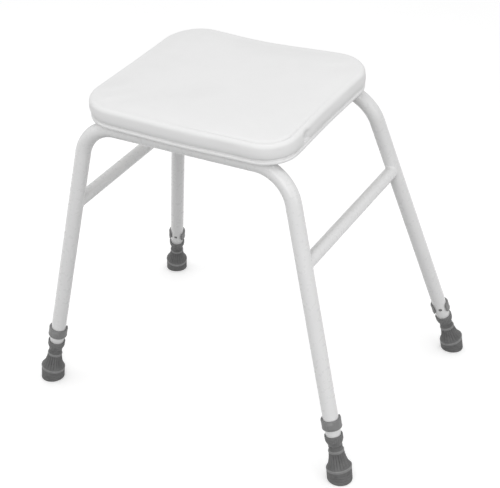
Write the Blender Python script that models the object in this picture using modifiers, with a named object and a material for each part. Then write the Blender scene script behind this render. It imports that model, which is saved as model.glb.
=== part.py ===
"""Height-adjustable perching stool with a padded, forward-sloping seat.

Two bent tube frames, one in front and one behind, are joined by two welded
braces and carry an upholstered seat on four screws.  Each of the four legs
holds a telescoping inner tube with a rubber ferrule, set in 25 mm steps by a
spring clip whose peg goes through both tubes.

Metres, +Z up, the stool faces -Y and +X is to its right as seen from the
front.  The origin is on the floor at the middle of the stool.
"""
import bpy
import bmesh
from math import pi, sin, cos, radians, sqrt, acos, tan
from mathutils import Matrix, Vector

# ---------------------------------------------------------------- dimensions
NAME = "perching_stool"
GAP = 0.0003                      # between solids that touch

TUBE_R = 0.0127                   # frame tube, 25.4 mm outside
TUBE_WALL = 0.0016
INNER_R = 0.009525                # leg extension, 19.05 mm outside
INNER_WALL = 0.0015
BRACE_R = 0.0110                  # side brace, 22 mm outside
BRACE_WALL = 0.0012

FRONT = dict(y=-0.2065, z=0.5150, half=0.1804, foot_x=0.2930, foot_y=-0.2229,
             bend=0.066, brace_z=0.3669)
REAR = dict(y=0.0645, z=0.5445, half=0.1804, foot_x=0.3117, foot_y=0.2261,
            bend=0.074, brace_z=0.3967)

# stations up the leg's axis from the floor, at the lowest height setting
TUBE_END = 0.0773                 # bottom end of the frame tube
COLLAR_LOW = 0.0650               # bottom of the end collar
COLLAR_TOP = 0.0845
SLEEVE_TOP = 0.0960
PEG = 0.1055                      # height-setting peg
STEP = 0.025                      # between height settings
SETTINGS = 7
EXT_LOW = 0.0143                  # bottom of the leg extension
EXT_TOP = 0.2950
FERRULE_TOP = 0.0646
FLEX_FROM, FLEX = 0.0245, 0.5     # the ferrule's tread bends half way upright below this
PEG_R = 0.0030
PEG_HOLE_R = 0.0033
PEG_TIP = 0.0129                  # the peg reaches this far past the leg's axis
PEG_TURN = 20                     # degrees the pegs are turned from the fore and aft line

SEAT_HALF = 0.1860                # seat, half its width
SEAT_FRONT = -0.0235              # in front of the front tube's centre line
SEAT_REAR = 0.3060
FRONT_CORNER, REAR_CORNER = 0.060, 0.067
FRONT_BULGE = 0.0030              # the front edge bows out in the middle
REAR_DIP = 0.0080                 # the rear edge is scooped in the middle
SIDE_DIP = 0.0015
SEAT_LOW = 0.0130                 # seat's underside above the tubes' centres
SEAT_THICK = 0.0340
SEAT_EDGE = 0.0075                # rounding of the top edge
VINYL = 0.0010
TURN_UNDER = 0.024                # vinyl folded under the board
BOARD = 0.0090
SCREW_X = 0.1100
SCREW_IN = 0.0240                 # screws inboard of the top tubes' centres
SCREW_R = 0.0030
SCREW_HOLE_R = 0.0034
TAB_HALF, TAB_LOW, TAB_HIGH = 0.0130, 0.0110, 0.0140

SLOPE = (REAR["z"] - FRONT["z"]) / (REAR["y"] - FRONT["y"])
TUBE_PITCH = sqrt((REAR["z"] - FRONT["z"]) ** 2 + (REAR["y"] - FRONT["y"]) ** 2)

SEGS = 18

# ------------------------------------------------------------------- helpers
for old in list(bpy.data.objects):
    bpy.data.objects.remove(old, do_unlink=True)

parts = bpy.data.collections.new(NAME)
cutters = bpy.data.collections.new(NAME + "_cutters")
bpy.context.scene.collection.children.link(parts)
bpy.context.scene.collection.children.link(cutters)


def material(name, colour, roughness, metallic=0.0):
    mat = bpy.data.materials.new(name)
    mat.use_nodes = True
    shader = mat.node_tree.nodes["Principled BSDF"]
    shader.inputs["Base Color"].default_value = (*colour, 1.0)
    shader.inputs["Roughness"].default_value = roughness
    shader.inputs["Metallic"].default_value = metallic
    return mat


def put(obj, where=parts):
    for c in list(obj.users_collection):
        c.objects.unlink(obj)
    where.objects.link(obj)
    return obj


def mesh_object(name, mesh, where=parts):
    obj = bpy.data.objects.new(name, mesh)
    where.objects.link(obj)
    return obj


def empty(name, matrix):
    obj = bpy.data.objects.new(name, None)
    parts.objects.link(obj)
    obj.empty_display_size = 0.03
    obj.matrix_world = matrix
    return obj


def as_cutter(obj):
    obj.hide_render = True
    obj.display_type = "WIRE"
    return put(obj, cutters)


def evaluated(obj):
    """The object's evaluated mesh as a new mesh, its seams welded."""
    bpy.context.view_layer.update()
    deps = bpy.context.evaluated_depsgraph_get()
    mesh = bpy.data.meshes.new_from_object(obj.evaluated_get(deps))
    bm = bmesh.new()
    bm.from_mesh(mesh)
    bmesh.ops.remove_doubles(bm, verts=bm.verts, dist=0.00001)
    bmesh.ops.recalc_face_normals(bm, faces=bm.faces)
    bm.to_mesh(mesh)
    bm.free()
    return mesh


def bake(obj, name=None):
    """Replaces an object by a plain mesh of what it evaluates to."""
    mesh = evaluated(obj)
    world = obj.matrix_world.copy()
    name = name or obj.name
    where = obj.users_collection[0]
    bpy.data.objects.remove(obj, do_unlink=True)
    new = mesh_object(name, mesh, where)
    new.matrix_world = world
    return new


def smooth(obj, angle=35):
    obj.data.shade_smooth()
    obj.data.set_sharp_from_angle(angle=radians(angle))
    return obj


def flip(mesh):
    bm = bmesh.new()
    bm.from_mesh(mesh)
    bmesh.ops.reverse_faces(bm, faces=bm.faces)
    bm.to_mesh(mesh)
    bm.free()


def signed_volume(mesh):
    bm = bmesh.new()
    bm.from_mesh(mesh)
    v = bm.calc_volume(signed=True)
    bm.free()
    return v


def turned(name, profile, segs=SEGS, where=parts):
    """A closed (radius, height) outline turned about Z with a Screw modifier."""
    mesh = bpy.data.meshes.new(name)
    bm = bmesh.new()
    verts = [bm.verts.new((r, 0.0, z)) for r, z in profile]
    closed = profile[0][0] > 1e-6 or profile[-1][0] > 1e-6
    for a, b in zip(verts, verts[1:]):
        bm.edges.new((a, b))
    if closed:
        bm.edges.new((verts[-1], verts[0]))
    bm.to_mesh(mesh)
    bm.free()
    obj = mesh_object(name, mesh, where)
    mod = obj.modifiers.new("turn", "SCREW")
    mod.axis = "Z"
    mod.angle = 2 * pi
    mod.steps = segs
    mod.render_steps = segs
    mod.use_merge_vertices = True
    mod.merge_threshold = 0.00001
    obj = bake(obj, name)
    if signed_volume(obj.data) < 0:
        flip(obj.data)
    return smooth(obj)


def cylinder(name, r, low, high, segs=SEGS, matrix=None, where=cutters):
    """A solid cylinder along local Z from low to high."""
    mesh = bpy.data.meshes.new(name)
    bm = bmesh.new()
    bmesh.ops.create_cone(bm, cap_ends=True, segments=segs, radius1=r, radius2=r,
                          depth=high - low,
                          matrix=Matrix.Translation((0, 0, (low + high) / 2)))
    bm.to_mesh(mesh)
    bm.free()
    obj = mesh_object(name, mesh, where)
    if matrix is not None:
        obj.matrix_world = matrix
    if where is cutters:
        as_cutter(obj)
    return obj


def block(name, size, centre, matrix=None):
    mesh = bpy.data.meshes.new(name)
    bm = bmesh.new()
    bmesh.ops.create_cube(bm, size=1.0)
    bmesh.ops.scale(bm, vec=size, verts=bm.verts)
    bmesh.ops.translate(bm, vec=centre, verts=bm.verts)
    bm.to_mesh(mesh)
    bm.free()
    obj = mesh_object(name, mesh, cutters)
    if matrix is not None:
        obj.matrix_world = matrix
    return as_cutter(obj)


def boolean(obj, cutter, operation="DIFFERENCE"):
    mod = obj.modifiers.new(cutter.name, "BOOLEAN")
    mod.operation = operation
    mod.solver = "EXACT"
    mod.object = cutter
    return obj


def wire(name, points, radius, resolution, caps):
    """A round bar along the points, from a POLY curve."""
    curve = bpy.data.curves.new(name, "CURVE")
    curve.dimensions = "3D"
    curve.bevel_depth = radius
    curve.bevel_resolution = resolution
    curve.use_fill_caps = caps
    spline = curve.splines.new("POLY")
    spline.points.add(len(points) - 1)
    for p, q in zip(spline.points, points):
        p.co = (*q, 1.0)
    obj = bpy.data.objects.new(name, curve)
    parts.objects.link(obj)
    return obj


def tube(name, points, radius, wall, resolution=6):
    """A hollow round tube with open ends, from an open curve and Solidify."""
    obj = bake(wire(name, points, radius, resolution, False), name)
    if signed_volume(obj.data) < 0:
        flip(obj.data)
    mod = obj.modifiers.new("wall", "SOLIDIFY")
    mod.thickness = wall
    mod.offset = -1.0
    mod.use_even_offset = True
    mod.use_rim = True
    obj = bake(obj, name)
    if signed_volume(obj.data) < 0:
        flip(obj.data)
    return smooth(obj)


def seat_outline(inset, n=6, along=4):
    """The seat's plan, anticlockwise: round corners, bowed front, scooped rear."""
    half, low, high = SEAT_HALF - inset, SEAT_FRONT + inset, SEAT_REAR - inset
    front, rear = FRONT_CORNER - inset, REAR_CORNER - inset
    points = []
    for x, y, a0, r in ((half - rear, high - rear, 0, rear),
                        (-half + rear, high - rear, 90, rear),
                        (-half + front, low + front, 180, front),
                        (half - front, low + front, 270, front)):
        for i in range(n + 1):
            a = radians(a0 + 90 * i / n)
            points.append((x + r * cos(a), y + r * sin(a)))
    full = []
    for i, (p, q) in enumerate(zip(points, points[1:] + points[:1])):
        full.append(p)
        if i % (n + 1) == n:
            full += [(p[0] + (q[0] - p[0]) * k / along, p[1] + (q[1] - p[1]) * k / along)
                     for k in range(1, along)]
    mid, reach = (SEAT_FRONT + SEAT_REAR) / 2, (SEAT_REAR - SEAT_FRONT) / 2
    out = []
    for x, y in full:
        u, v = x / SEAT_HALF, (y - mid) / reach
        across = cos(min(1.0, abs(u) / 0.85) * pi / 2) ** 2
        along_y = cos(min(1.0, abs(v) / 0.85) * pi / 2) ** 2
        if v < 0:
            y -= FRONT_BULGE * across * min(1.0, max(0.0, (-v - 0.6) / 0.4))
        else:
            y -= REAR_DIP * across * min(1.0, max(0.0, (v - 0.6) / 0.4))
        x -= (1 if x > 0 else -1) * SIDE_DIP * along_y * min(1.0, max(0.0, (abs(u) - 0.6) / 0.4))
        out.append((x, y))
    return out


def slab(name, outline, low, high, where=parts):
    """A flat 2D outline, filled and extruded, between two heights."""
    curve = bpy.data.curves.new(name, "CURVE")
    curve.dimensions = "2D"
    curve.fill_mode = "BOTH"
    curve.extrude = (high - low) / 2
    spline = curve.splines.new("POLY")
    spline.points.add(len(outline) - 1)
    for p, (x, y) in zip(spline.points, outline):
        p.co = (x, y, 0.0, 1.0)
    spline.use_cyclic_u = True
    obj = bpy.data.objects.new(name, curve)
    parts.objects.link(obj)
    obj = bake(obj, name)
    bm = bmesh.new()
    bm.from_mesh(obj.data)
    bmesh.ops.translate(bm, vec=(0, 0, (low + high) / 2), verts=bm.verts)
    bmesh.ops.dissolve_limit(bm, angle_limit=radians(1), verts=bm.verts,
                             edges=bm.edges, delimit={"NORMAL"})
    bmesh.ops.recalc_face_normals(bm, faces=bm.faces)
    bm.to_mesh(obj.data)
    bm.free()
    if where is cutters:
        as_cutter(obj)
    return obj


def round_rim(obj, level, width, segments):
    """Rounds the edges that lie at one height."""
    bm = bmesh.new()
    bm.from_mesh(obj.data)
    rim = [e for e in bm.edges
           if all(abs(v.co.z - level) < 1e-6 for v in e.verts) and len(e.link_faces) == 2
           and abs(e.calc_face_angle(0)) > 0.5]
    bmesh.ops.bevel(bm, geom=rim, offset=width, offset_type="OFFSET",
                    segments=segments, profile=0.5, affect="EDGES")
    bm.to_mesh(obj.data)
    bm.free()
    return obj


# ----------------------------------------------------------------- materials
white_coat = material("white_powder_coat", (0.80, 0.80, 0.79), 0.28)
white_vinyl = material("white_vinyl", (0.82, 0.82, 0.81), 0.42)
foam_mat = material("seat_foam", (0.80, 0.76, 0.55), 0.95)
ply_mat = material("plywood", (0.58, 0.42, 0.25), 0.7)
grey_rubber = material("grey_rubber", (0.12, 0.12, 0.12), 0.6)
grey_plastic = material("grey_plastic", (0.17, 0.17, 0.17), 0.45)
clip_grey = material("clip_grey", (0.24, 0.24, 0.24), 0.4)
zinc = material("zinc_steel", (0.62, 0.62, 0.63), 0.35, 1.0)
nylon = material("black_nylon", (0.05, 0.05, 0.05), 0.5)


def finish(obj, mat):
    obj.data.materials.clear()
    obj.data.materials.append(mat)
    return obj


# ------------------------------------------------------------ frame geometry
def leg_line(f, side):
    """Foot on the floor, corner under the seat, and the unit vector up."""
    foot = Vector((side * f["foot_x"], f["foot_y"], 0.0))
    corner = Vector((side * f["half"], f["y"], f["z"]))
    return foot, corner, (corner - foot).normalized()


def bend_points(f, side, n=7):
    """Points round the bend, from the leg to the top tube."""
    foot, corner, up = leg_line(f, side)
    inward = Vector((-side, 0.0, 0.0))
    down = -up
    angle = acos(down.dot(inward))
    t = f["bend"] / tan(angle / 2)
    start, end = corner + down * t, corner + inward * t
    centre = corner + (down + inward).normalized() * (f["bend"] / sin(angle / 2))
    a, b = start - centre, end - centre
    sweep = acos(max(-1.0, min(1.0, a.dot(b) / f["bend"] ** 2)))
    return [centre + (a * sin(sweep * (1 - i / n)) + b * sin(sweep * i / n)) / sin(sweep)
            for i in range(n + 1)]


def frame_path(f):
    foot_l, _, up_l = leg_line(f, -1)
    foot_r, _, up_r = leg_line(f, 1)
    left = bend_points(f, -1)
    right = list(reversed(bend_points(f, 1)))
    return [foot_l + up_l * TUBE_END] + left + right + [foot_r + up_r * TUBE_END]


def leg_matrix(f, side):
    """Local Z up the leg, local -Y towards the side the clip goes on from."""
    foot, _, up = leg_line(f, side)
    turn = radians(PEG_TURN)
    out = Vector((sin(turn), -cos(turn), 0)) * (1 if f is FRONT else -1)
    out = (out - up * out.dot(up)).normalized()
    y = -out
    x = y.cross(up)
    m = Matrix((x, y, up)).transposed().to_4x4()
    m.translation = foot
    return m


def seat_matrix():
    """Local X across, local Y up the slope, origin at the front tube."""
    y = Vector((0, 1, SLOPE)).normalized()
    x = Vector((1, 0, 0))
    m = Matrix((x, y, x.cross(y))).transposed().to_4x4()
    m.translation = Vector((0, FRONT["y"], FRONT["z"]))
    return m


LEGS = [("front_left", FRONT, -1), ("front_right", FRONT, 1),
        ("rear_left", REAR, -1), ("rear_right", REAR, 1)]
SEAT = seat_matrix()
SCREWS = [("front_left", -SCREW_X, SCREW_IN), ("front_right", SCREW_X, SCREW_IN),
          ("rear_left", -SCREW_X, TUBE_PITCH - SCREW_IN),
          ("rear_right", SCREW_X, TUBE_PITCH - SCREW_IN)]

# ------------------------------------------------------------- bent frames
for label, f in (("front", FRONT), ("rear", REAR)):
    frame = tube(label + "_frame", frame_path(f), TUBE_R, TUBE_WALL)
    for leg, ff, side in LEGS:
        if ff is f:
            m = leg_matrix(f, side) @ Matrix.Translation((0, 0, PEG)) \
                @ Matrix.Rotation(pi / 2, 4, "X")
            hole = cylinder(leg + "_peg_hole", PEG_HOLE_R, -0.020, 0.020, 16, m)
            boolean(frame, hole)
    frame = bake(frame, label + "_frame")
    finish(smooth(frame), white_coat)

# ------------------------------------------------------------------- braces
for label, side in (("left", -1), ("right", 1)):
    ends = []
    for f in (FRONT, REAR):
        foot, corner, up = leg_line(f, side)
        ends.append(foot + up * (f["brace_z"] / up.z))
    brace = tube(label + "_brace", ends, BRACE_R, BRACE_WALL)
    for f in (FRONT, REAR):
        m = leg_matrix(f, side)
        boolean(brace, cylinder(f"{label}_{'front' if f is FRONT else 'rear'}_cope",
                                TUBE_R + GAP, 0.25, 0.50, 32, m))
    brace = bake(brace, label + "_brace")
    finish(smooth(brace), white_coat)

# ------------------------------------------------------- legs, clips and feet
floor = block("floor", (1.0, 1.0, 0.1), (0, 0, -0.05))


def clip_shape(name):
    """Spring clip: a C round the tube with a finger boss and a peg."""
    inner, outer = TUBE_R + GAP, TUBE_R + 0.0035
    high = 0.0087
    ring = turned(name, [(inner, -high), (inner, high), (outer - 0.0008, high),
                         (outer, high - 0.0008), (outer, -high + 0.0008),
                         (outer - 0.0008, -high)], 32)
    mouth = slab(name + "_mouth", [(0, 0), (0.034, 0.0365), (0.034, 0.05),
                                   (-0.034, 0.05), (-0.034, 0.0365)],
                 -0.02, 0.02, cutters)
    boolean(ring, mouth)
    boss = block(name + "_boss", (0.0090, 0.0040, 0.0100), (0, -outer - 0.0002, 0))
    boolean(ring, boss, "UNION")
    peg = cylinder(name + "_peg", PEG_R, -PEG_TIP, inner + 0.0012, 16,
                   Matrix.Rotation(pi / 2, 4, "X"))
    boolean(ring, peg, "UNION")
    ring = bake(ring, name)
    return smooth(ring)


for leg, f, side in LEGS:
    m = leg_matrix(f, side)
    axis = empty(leg + "_leg_axis", m)

    def place(obj, mat, z=0.0):
        obj.parent = axis
        obj.matrix_parent_inverse = Matrix.Identity(4)
        obj.location = (0, 0, z)
        return finish(obj, mat)

    # leg extension with a row of peg holes through both walls
    ext = turned(leg + "_leg_extension",
                 [(INNER_R - INNER_WALL, EXT_LOW), (INNER_R - INNER_WALL, EXT_TOP),
                  (INNER_R, EXT_TOP), (INNER_R, EXT_LOW)], 18)
    for k in range(SETTINGS):
        hole = cylinder(f"{leg}_setting_{k}", PEG_HOLE_R, -0.013, 0.013, 10,
                        Matrix.Translation((0, 0, PEG + STEP * k))
                        @ Matrix.Rotation(pi / 2, 4, "X"))
        boolean(ext, hole)
    ext = bake(ext, leg + "_leg_extension")
    place(smooth(ext), zinc)

    # bush on the extension's upper end that keeps it central in the frame tube
    bush = turned(leg + "_top_bush",
                  [(0.0, EXT_TOP - 0.014),
                   (INNER_R - INNER_WALL - GAP - 0.0008, EXT_TOP - 0.014),
                   (INNER_R - INNER_WALL - GAP, EXT_TOP - 0.0132),
                   (INNER_R - INNER_WALL - GAP, EXT_TOP + GAP),
                   (TUBE_R - TUBE_WALL - GAP, EXT_TOP + GAP),
                   (TUBE_R - TUBE_WALL - GAP, EXT_TOP + 0.0045),
                   (TUBE_R - TUBE_WALL - GAP - 0.001, EXT_TOP + 0.0055),
                   (0.0, EXT_TOP + 0.0055)], 20)
    place(bush, nylon)

    # collar: a cup over the frame tube's end, with a guide sleeve inside it
    bore = INNER_R + GAP
    sleeve = TUBE_R - TUBE_WALL - GAP
    cup = TUBE_R + GAP
    collar = turned(leg + "_end_collar",
                    [(bore, COLLAR_LOW), (bore, SLEEVE_TOP), (sleeve, SLEEVE_TOP),
                     (sleeve, TUBE_END - GAP), (cup, TUBE_END - GAP),
                     (cup, COLLAR_TOP), (0.0146, COLLAR_TOP), (0.0149, COLLAR_TOP - 0.0006),
                     (0.0149, 0.0755), (0.0140, 0.0725), (0.0118, 0.0680),
                     (0.0113, COLLAR_LOW)], SEGS)
    place(collar, grey_plastic)

    # rubber ferrule, cut level with the floor
    socket = INNER_R + GAP
    ferrule = turned(leg + "_ferrule",
                     [(0.0, 0.0120), (socket, 0.0120), (socket, FERRULE_TOP),
                      (0.0114, FERRULE_TOP), (0.0114, 0.0570), (0.0128, 0.0560),
                      (0.0128, 0.0530), (0.0136, 0.0460), (0.0152, 0.0370),
                      (0.0180, 0.0285), (0.0196, 0.0255), (0.0210, 0.0245),
                      (0.0210, 0.0205), (0.0207, 0.0198), (0.0207, -0.0140),
                      (0.0, -0.0140)], SEGS)
    place(ferrule, grey_rubber)
    # the tread leans part of the way upright, as the rubber flexes on the floor
    up_here = m.to_3x3().transposed() @ Vector((0, 0, 1))
    for v in ferrule.data.vertices:
        inside = v.co.z > 0.0119 and v.co.xy.length < socket + 0.0005
        drop = 0.0 if inside else max(0.0, FLEX_FROM - v.co.z)
        v.co.x -= FLEX * drop * up_here.x / up_here.z
        v.co.y -= FLEX * drop * up_here.y / up_here.z
    boolean(ferrule, floor)
    bpy.context.view_layer.update()
    ferrule = bake(ferrule, leg + "_ferrule")
    world = ferrule.matrix_world.copy()
    ferrule.parent = axis
    ferrule.matrix_parent_inverse = Matrix.Identity(4)
    ferrule.matrix_world = world
    finish(smooth(ferrule), grey_rubber)

    # steel disc under the tube's end, inside the ferrule
    disc = turned(leg + "_ferrule_washer",
                  [(0.0, 0.0123), (0.0085, 0.0123), (0.0085, 0.0138), (0.0, 0.0138)], 20)
    place(disc, zinc)

    place(clip_shape(leg + "_clip"), clip_grey, PEG)

# --------------------------------------------------------------------- seat
seat_axis = empty("seat_axis", SEAT)


def on_seat(obj, mat, at=(0.0, 0.0, 0.0)):
    obj.parent = seat_axis
    obj.matrix_parent_inverse = Matrix.Identity(4)
    obj.location = at
    return finish(obj, mat)


TOP = SEAT_LOW + SEAT_THICK
BOARD_LOW = SEAT_LOW + VINYL + GAP
BOARD_TOP = BOARD_LOW + BOARD
inset = VINYL + GAP

# vinyl cover: the rounded slab's skin, open underneath inside the turn-under
cover = slab("seat_cover", seat_outline(0.0), SEAT_LOW, TOP)
round_rim(cover, TOP, SEAT_EDGE, 3)
bm = bmesh.new()
bm.from_mesh(cover.data)
under = [fc for fc in bm.faces if fc.normal.z < -0.9]
bmesh.ops.inset_region(bm, faces=under, thickness=TURN_UNDER, use_even_offset=True)
under = [max((fc for fc in bm.faces if fc.normal.z < -0.9), key=lambda fc: fc.calc_area())]
bmesh.ops.delete(bm, geom=under, context="FACES")
bm.to_mesh(cover.data)
bm.free()
skin = cover.modifiers.new("vinyl", "SOLIDIFY")
skin.thickness = VINYL
skin.offset = -1.0
skin.use_even_offset = True
cover = bake(cover, "seat_cover")

board = slab("seat_board", seat_outline(inset), BOARD_LOW, BOARD_TOP)
foam = slab("seat_foam", seat_outline(inset), BOARD_TOP + GAP, TOP - VINYL - GAP)
round_rim(foam, TOP - VINYL - GAP, SEAT_EDGE - VINYL, 2)

NUT_R, NUT_FLANGE = 0.0040, 0.0095
for screw, x, y in SCREWS:
    at = Matrix.Translation((x, y, 0))
    boolean(board, cylinder(screw + "_board_hole", NUT_R + GAP, 0.0, 0.0400, 16, at))
    boolean(foam, cylinder(screw + "_foam_pocket", NUT_FLANGE + 0.001,
                           BOARD_TOP - 0.005, BOARD_TOP + 0.0026, 16, at))
on_seat(smooth(bake(cover, "seat_cover"), 50), white_vinyl)
on_seat(smooth(bake(board, "seat_board"), 50), ply_mat)
on_seat(smooth(bake(foam, "seat_foam"), 50), foam_mat)

# tabs welded inboard of the top tubes, with washers, screws and tee nuts
for screw, x, y in SCREWS:
    at = (x, y, 0.0)
    tube_way = -1 if screw.startswith("front") else 1
    edge, far, c = tube_way * (SCREW_IN - 0.0050), -tube_way * 0.0120, 0.0060
    tab = slab(screw + "_seat_tab",
               [(-TAB_HALF, edge), (TAB_HALF, edge), (TAB_HALF, far + tube_way * c),
                (TAB_HALF - c * 0.3, far + tube_way * c * 0.3), (TAB_HALF - c, far),
                (-TAB_HALF + c, far), (-TAB_HALF + c * 0.3, far + tube_way * c * 0.3),
                (-TAB_HALF, far + tube_way * c)], TAB_LOW, TAB_HIGH)
    boolean(tab, cylinder(screw + "_tab_cope", TUBE_R + GAP, -0.05, 0.05, 32,
                          Matrix.Translation((0, tube_way * SCREW_IN, 0))
                          @ Matrix.Rotation(pi / 2, 4, "Y")))
    boolean(tab, cylinder(screw + "_tab_hole", SCREW_HOLE_R, 0.0, 0.03, 16))
    on_seat(smooth(bake(tab, screw + "_seat_tab"), 30), white_coat, at)

    washer = turned(screw + "_seat_washer",
                    [(SCREW_HOLE_R, TAB_LOW - GAP - 0.0012), (SCREW_HOLE_R, TAB_LOW - GAP),
                     (0.0060, TAB_LOW - GAP), (0.0060, TAB_LOW - GAP - 0.0012)], 16)
    on_seat(washer, zinc, at)

    under = TAB_LOW - 2 * GAP - 0.0012
    bolt = turned(screw + "_seat_screw",
                  [(0.0, under - 0.0034), (0.0030, under - 0.0032), (0.0047, under - 0.0022),
                   (0.0055, under - 0.0008), (0.0055, under), (SCREW_R, under),
                   (SCREW_R, BOARD_TOP - 0.0008), (SCREW_R - 0.0006, BOARD_TOP - 0.0002),
                   (0.0, BOARD_TOP - 0.0002)], 14)
    on_seat(bolt, zinc, at)

    nut = turned(screw + "_tee_nut",
                 [(SCREW_R + GAP, BOARD_LOW + 0.0010), (SCREW_R + GAP, BOARD_TOP + 0.0018),
                  (NUT_FLANGE, BOARD_TOP + 0.0018), (NUT_FLANGE, BOARD_TOP + GAP),
                  (NUT_R, BOARD_TOP + GAP), (NUT_R, BOARD_LOW + 0.0010)], 14)
    on_seat(nut, zinc, at)

bpy.context.view_layer.update()
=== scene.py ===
"""Looks of the height-adjustable perching stool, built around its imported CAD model.

Metres, +Z up, the stool faces -Y.  Lengths are the CAD model's own.
"""
from math import pi, sin, cos, tan, radians, sqrt, acos, atan2, hypot, exp

import bpy
import bmesh
import numpy as np
from mathutils import Matrix, Vector
from mathutils.bvhtree import BVHTree


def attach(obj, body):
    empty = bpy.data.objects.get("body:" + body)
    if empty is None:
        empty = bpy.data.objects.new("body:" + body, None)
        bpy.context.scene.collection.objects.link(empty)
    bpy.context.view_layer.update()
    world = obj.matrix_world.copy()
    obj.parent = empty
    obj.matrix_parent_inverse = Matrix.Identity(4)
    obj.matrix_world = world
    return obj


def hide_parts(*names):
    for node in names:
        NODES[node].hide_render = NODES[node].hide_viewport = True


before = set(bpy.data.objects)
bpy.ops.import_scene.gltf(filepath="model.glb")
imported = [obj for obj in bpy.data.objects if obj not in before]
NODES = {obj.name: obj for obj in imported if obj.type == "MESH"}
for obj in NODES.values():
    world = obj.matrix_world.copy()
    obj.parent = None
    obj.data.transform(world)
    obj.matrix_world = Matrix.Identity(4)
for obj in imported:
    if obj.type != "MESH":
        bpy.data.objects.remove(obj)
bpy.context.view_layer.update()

# ------------------------------------------------------------ CAD dimensions
TUBE_R, TUBE_WALL = 0.0127, 0.0016
INNER_R, INNER_WALL = 0.009525, 0.0015
BRACE_R, BRACE_WALL = 0.0110, 0.0012
FRONT = dict(y=-0.2065, z=0.5150, half=0.1804, foot_x=0.2930, foot_y=-0.2229,
             bend=0.066, brace_z=0.3669)
REAR = dict(y=0.0645, z=0.5445, half=0.1804, foot_x=0.3117, foot_y=0.2261,
            bend=0.074, brace_z=0.3967)
TUBE_END, COLLAR_LOW, COLLAR_TOP, SLEEVE_TOP = 0.0773, 0.0650, 0.0845, 0.0960
PEG, STEP, SETTINGS = 0.1055, 0.025, 7
EXT_LOW, EXT_TOP, FERRULE_TOP = 0.0143, 0.2950, 0.0646
FLEX_FROM, FLEX = 0.0245, 0.5
PEG_R, PEG_HOLE_R, PEG_TIP, PEG_TURN = 0.0030, 0.0033, 0.0129, 20
SEAT_LOW, VINYL, BOARD = 0.0130, 0.0010, 0.0090
SCREW_X, SCREW_IN, SCREW_R, SCREW_HOLE_R = 0.1100, 0.0240, 0.0030, 0.0034
TAB_HALF, TAB_LOW, TAB_HIGH = 0.0130, 0.0110, 0.0140
SLOPE = (REAR["z"] - FRONT["z"]) / (REAR["y"] - FRONT["y"])
TUBE_PITCH = sqrt((REAR["z"] - FRONT["z"]) ** 2 + (REAR["y"] - FRONT["y"]) ** 2)
LEGS = [("front_left", FRONT, -1), ("front_right", FRONT, 1),
        ("rear_left", REAR, -1), ("rear_right", REAR, 1)]


# ----------------------------------------------------------------- materials
def nodes_of(name):
    mat = bpy.data.materials.new(name)
    mat.use_nodes = True
    tree = mat.node_tree
    shader = tree.nodes["Principled BSDF"]
    coords = tree.nodes.new("ShaderNodeTexCoord")
    return mat, tree, shader, coords.outputs["Object"]


def noise(tree, where, scale, detail=3.0, rough=0.5):
    n = tree.nodes.new("ShaderNodeTexNoise")
    n.inputs["Scale"].default_value = scale
    n.inputs["Detail"].default_value = detail
    n.inputs["Roughness"].default_value = rough
    tree.links.new(where, n.inputs["Vector"])
    return n.outputs["Fac"]


def ramp(tree, value, stops):
    r = tree.nodes.new("ShaderNodeValToRGB")
    e = r.color_ramp.elements
    while len(e) < len(stops):
        e.new(0.5)
    for el, (at, colour) in zip(e, stops):
        el.position = at
        el.color = (*colour, 1.0) if len(colour) == 3 else colour
    tree.links.new(value, r.inputs["Fac"])
    return r.outputs["Color"]


def spread(tree, value, low, high):
    m = tree.nodes.new("ShaderNodeMapRange")
    m.inputs["From Min"].default_value = 0.25
    m.inputs["From Max"].default_value = 0.75
    m.inputs["To Min"].default_value = low
    m.inputs["To Max"].default_value = high
    tree.links.new(value, m.inputs["Value"])
    return m.outputs["Result"]


def bump(tree, value, strength, distance, before=None):
    b = tree.nodes.new("ShaderNodeBump")
    b.inputs["Strength"].default_value = strength
    b.inputs["Distance"].default_value = distance
    tree.links.new(value, b.inputs["Height"])
    if before is not None:
        tree.links.new(before, b.inputs["Normal"])
    return b.outputs["Normal"]


def grey(v, tint=(0.0, 0.0, 0.0)):
    return (v + tint[0], v + tint[1], v + tint[2])


def powder_coat():
    mat, tree, s, at = nodes_of("white_powder_coat_fine")
    patches = noise(tree, at, 26, 4)
    tree.links.new(ramp(tree, patches, [(0.25, grey(0.758)), (0.5, grey(0.768)),
                                        (0.8, grey(0.778))]), s.inputs["Base Color"])
    tree.links.new(spread(tree, noise(tree, at, 140, 2), 0.24, 0.36), s.inputs["Roughness"])
    peel = bump(tree, noise(tree, at, 620, 2), 0.06, 0.0003)
    tree.links.new(bump(tree, noise(tree, at, 90, 2), 0.02, 0.0008, peel), s.inputs["Normal"])
    s.inputs["Coat Weight"].default_value = 0.50
    s.inputs["Coat Roughness"].default_value = 0.10
    s.inputs["Specular IOR Level"].default_value = 0.5
    return mat


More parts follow.
